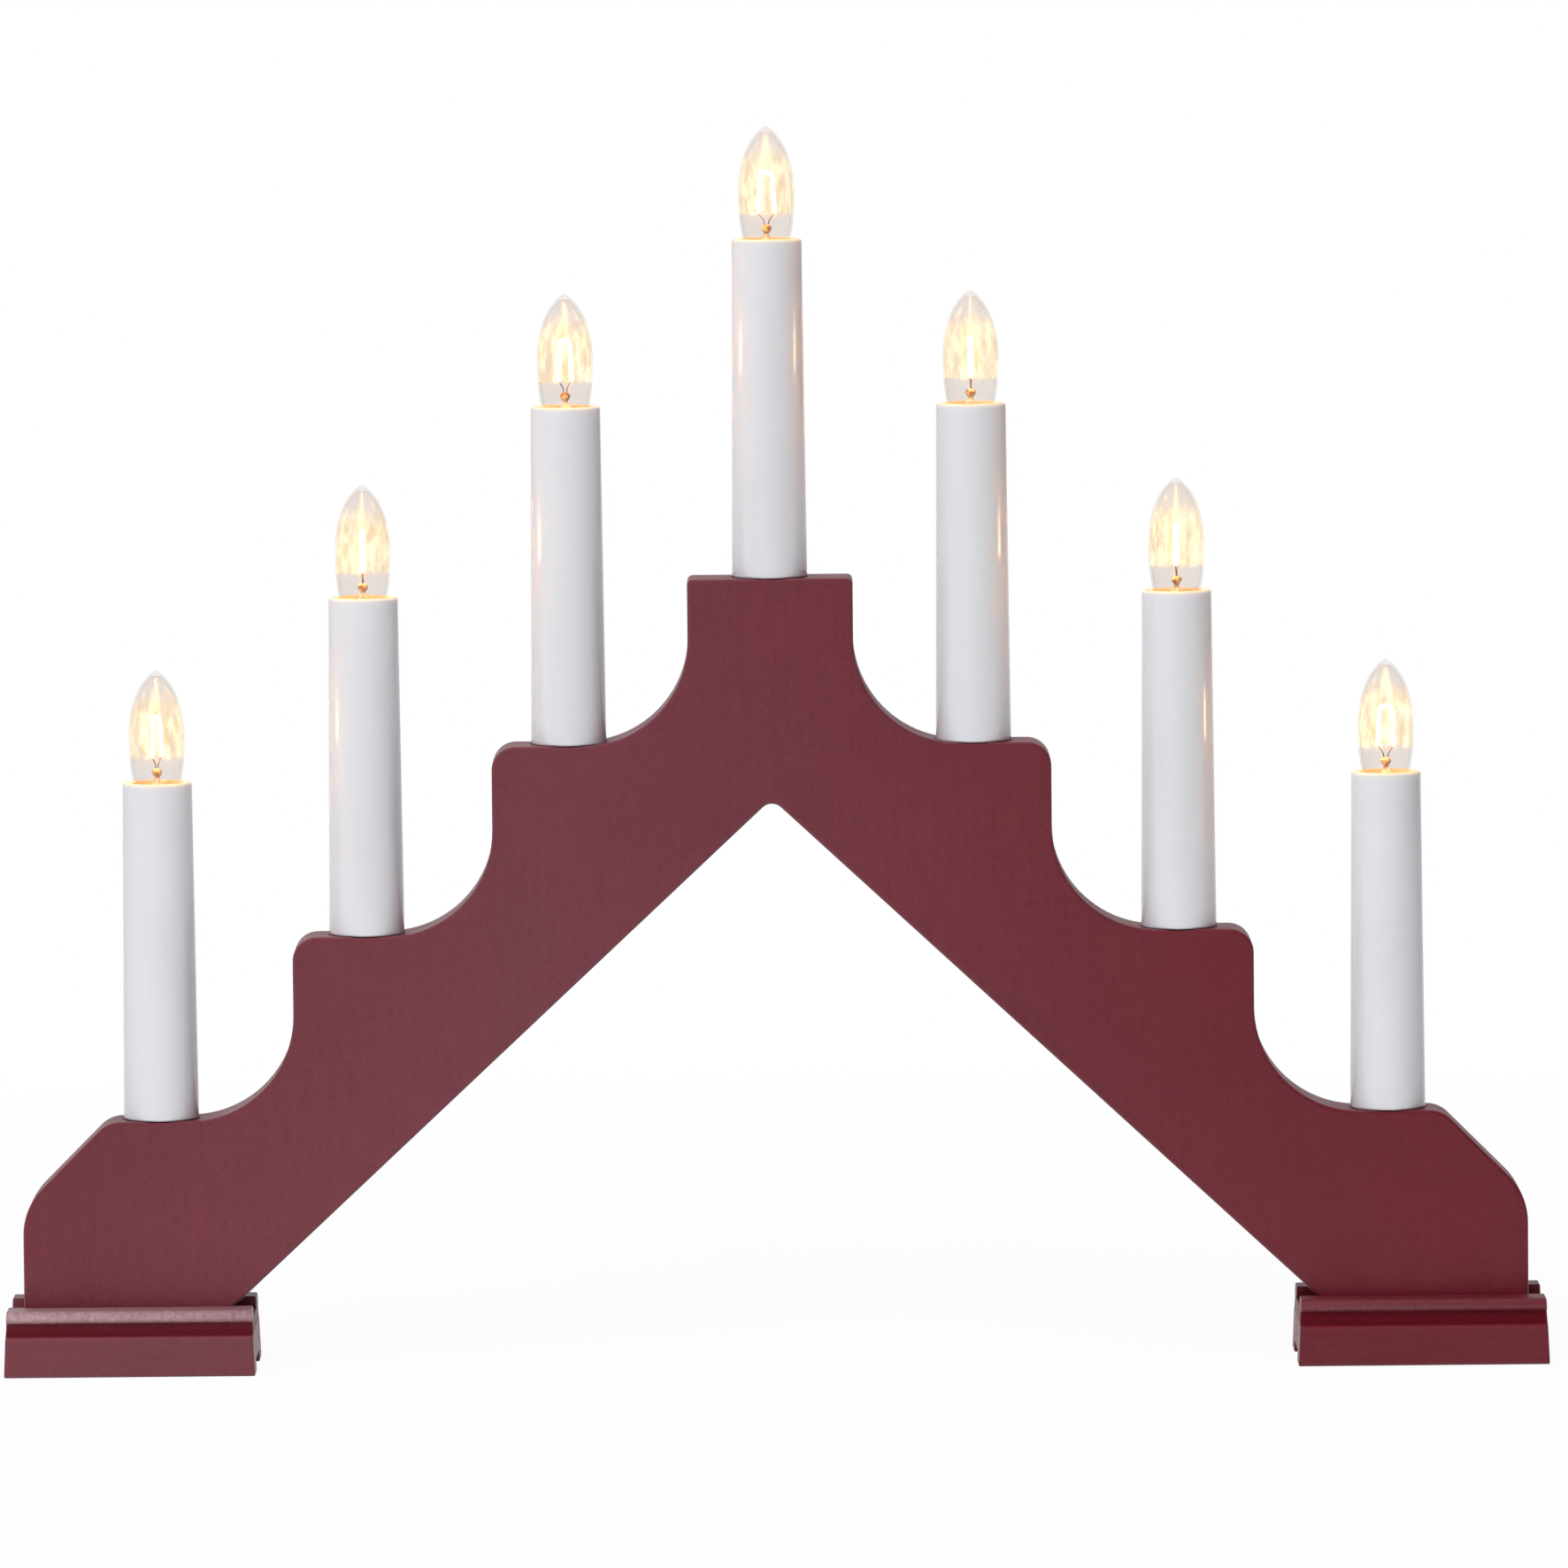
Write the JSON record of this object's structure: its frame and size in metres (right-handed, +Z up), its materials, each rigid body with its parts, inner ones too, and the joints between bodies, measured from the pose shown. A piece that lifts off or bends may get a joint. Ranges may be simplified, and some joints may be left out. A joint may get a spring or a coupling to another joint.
{
  "type": "electric candle arch",
  "caption": "Stepped candle arch for a window sill: a painted board on two moulded feet, with white candle sleeves that hold small screw-in bulbs wired in series.",
  "frame": {"origin": "on the floor, midway between the feet and midway between the board's two faces", "axes": "+X along the arch from the first candle to the last, +Y from the front face to the back face with the wiring groove, +Z up"},
  "size_m": [0.4612, 0.05, 0.3704],
  "materials": {
    "painted_wood": "satin paint on wood",
    "sleeve_plastic": "semi-gloss moulded, slightly translucent",
    "holder_plastic": "matte moulded",
    "brass": "rolled",
    "solder": "smooth, dull",
    "clear_glass": "clear, faintly ribbed",
    "filament": "lit filament on a glass mount",
    "lead_insulation": "soft insulation"
  },
  "bodies": {
    "arch": {"arch_board": "painted_wood", "foot_left": "painted_wood", "foot_right": "painted_wood", "candle_sleeve_1": "sleeve_plastic", "candle_sleeve_2": "sleeve_plastic", "candle_sleeve_3": "sleeve_plastic", "candle_sleeve_4": "sleeve_plastic", "candle_sleeve_5": "sleeve_plastic", "candle_sleeve_6": "sleeve_plastic", "candle_sleeve_7": "sleeve_plastic", "lamp_holder_1": "holder_plastic", "lamp_holder_2": "holder_plastic", "lamp_holder_3": "holder_plastic", "lamp_holder_4": "holder_plastic", "lamp_holder_5": "holder_plastic", "lamp_holder_6": "holder_plastic", "lamp_holder_7": "holder_plastic", "socket_shell_1": "brass", "socket_shell_2": "brass", "socket_shell_3": "brass", "socket_shell_4": "brass", "socket_shell_5": "brass", "socket_shell_6": "brass", "socket_shell_7": "brass", "feed_lead": "lead_insulation", "lead_1_to_2": "lead_insulation", "lead_2_to_3": "lead_insulation", "lead_3_to_4": "lead_insulation", "lead_4_to_5": "lead_insulation", "lead_5_to_6": "lead_insulation", "lead_6_to_7": "lead_insulation", "return_lead": "lead_insulation"},
    "bulb_rise_1": {"bulb_pip_1": "solder"},
    "bulb_1": {"bulb_cap_1": "brass", "bulb_glass_1": "clear_glass", "bulb_filament_1": "filament"},
    "bulb_rise_2": {"bulb_pip_2": "solder"},
    "bulb_2": {"bulb_cap_2": "brass", "bulb_glass_2": "clear_glass", "bulb_filament_2": "filament"},
    "bulb_rise_3": {"bulb_pip_3": "solder"},
    "bulb_3": {"bulb_cap_3": "brass", "bulb_glass_3": "clear_glass", "bulb_filament_3": "filament"},
    "bulb_rise_4": {"bulb_pip_4": "solder"},
    "bulb_4": {"bulb_cap_4": "brass", "bulb_glass_4": "clear_glass", "bulb_filament_4": "filament"},
    "bulb_rise_5": {"bulb_pip_5": "solder"},
    "bulb_5": {"bulb_cap_5": "brass", "bulb_glass_5": "clear_glass", "bulb_filament_5": "filament"},
    "bulb_rise_6": {"bulb_pip_6": "solder"},
    "bulb_6": {"bulb_cap_6": "brass", "bulb_glass_6": "clear_glass", "bulb_filament_6": "filament"},
    "bulb_rise_7": {"bulb_pip_7": "solder"},
    "bulb_7": {"bulb_cap_7": "brass", "bulb_glass_7": "clear_glass", "bulb_filament_7": "filament"}
  },
  "joints": [
    {"name": "bulb_1_rise", "type": "slide", "parent": "arch", "child": "bulb_rise_1", "axis": [0, 0, 1], "range_m": [0, 0.00544]},
    {"name": "bulb_1_turn", "type": "hinge", "parent": "bulb_rise_1", "child": "bulb_1", "pos_m": [-0.1837, 0, 0.15], "axis": [0, 0, 1], "range_deg": [0, 1081]},
    {"name": "bulb_2_rise", "type": "slide", "parent": "arch", "child": "bulb_rise_2", "axis": [0, 0, 1], "range_m": [0, 0.00544]},
    {"name": "bulb_2_turn", "type": "hinge", "parent": "bulb_rise_2", "child": "bulb_2", "pos_m": [-0.1215, 0, 0.15], "axis": [0, 0, 1], "range_deg": [0, 1081]},
    {"name": "bulb_3_rise", "type": "slide", "parent": "arch", "child": "bulb_rise_3", "axis": [0, 0, 1], "range_m": [0, 0.00544]},
    {"name": "bulb_3_turn", "type": "hinge", "parent": "bulb_rise_3", "child": "bulb_3", "pos_m": [-0.0605, 0, 0.15], "axis": [0, 0, 1], "range_deg": [0, 1081]},
    {"name": "bulb_4_rise", "type": "slide", "parent": "arch", "child": "bulb_rise_4", "axis": [0, 0, 1], "range_m": [0, 0.00544]},
    {"name": "bulb_4_turn", "type": "hinge", "parent": "bulb_rise_4", "child": "bulb_4", "pos_m": [0, 0, 0.15], "axis": [0, 0, 1], "range_deg": [0, 1081]},
    {"name": "bulb_5_rise", "type": "slide", "parent": "arch", "child": "bulb_rise_5", "axis": [0, 0, 1], "range_m": [0, 0.00544]},
    {"name": "bulb_5_turn", "type": "hinge", "parent": "bulb_rise_5", "child": "bulb_5", "pos_m": [0.0605, 0, 0.15], "axis": [0, 0, 1], "range_deg": [0, 1081]},
    {"name": "bulb_6_rise", "type": "slide", "parent": "arch", "child": "bulb_rise_6", "axis": [0, 0, 1], "range_m": [0, 0.00544]},
    {"name": "bulb_6_turn", "type": "hinge", "parent": "bulb_rise_6", "child": "bulb_6", "pos_m": [0.1215, 0, 0.15], "axis": [0, 0, 1], "range_deg": [0, 1081]},
    {"name": "bulb_7_rise", "type": "slide", "parent": "arch", "child": "bulb_rise_7", "axis": [0, 0, 1], "range_m": [0, 0.00544]},
    {"name": "bulb_7_turn", "type": "hinge", "parent": "bulb_rise_7", "child": "bulb_7", "pos_m": [0.1837, 0, 0.15], "axis": [0, 0, 1], "range_deg": [0, 1081]}
  ],
  "couplings": [
    {"joint": "bulb_1_turn", "follows": "bulb_1_rise", "rad_per_m": 3463.7},
    {"joint": "bulb_2_turn", "follows": "bulb_2_rise", "rad_per_m": 3463.7},
    {"joint": "bulb_3_turn", "follows": "bulb_3_rise", "rad_per_m": 3463.7},
    {"joint": "bulb_4_turn", "follows": "bulb_4_rise", "rad_per_m": 3463.7},
    {"joint": "bulb_5_turn", "follows": "bulb_5_rise", "rad_per_m": 3463.7},
    {"joint": "bulb_6_turn", "follows": "bulb_6_rise", "rad_per_m": 3463.7},
    {"joint": "bulb_7_turn", "follows": "bulb_7_rise", "rad_per_m": 3463.7}
  ]
}
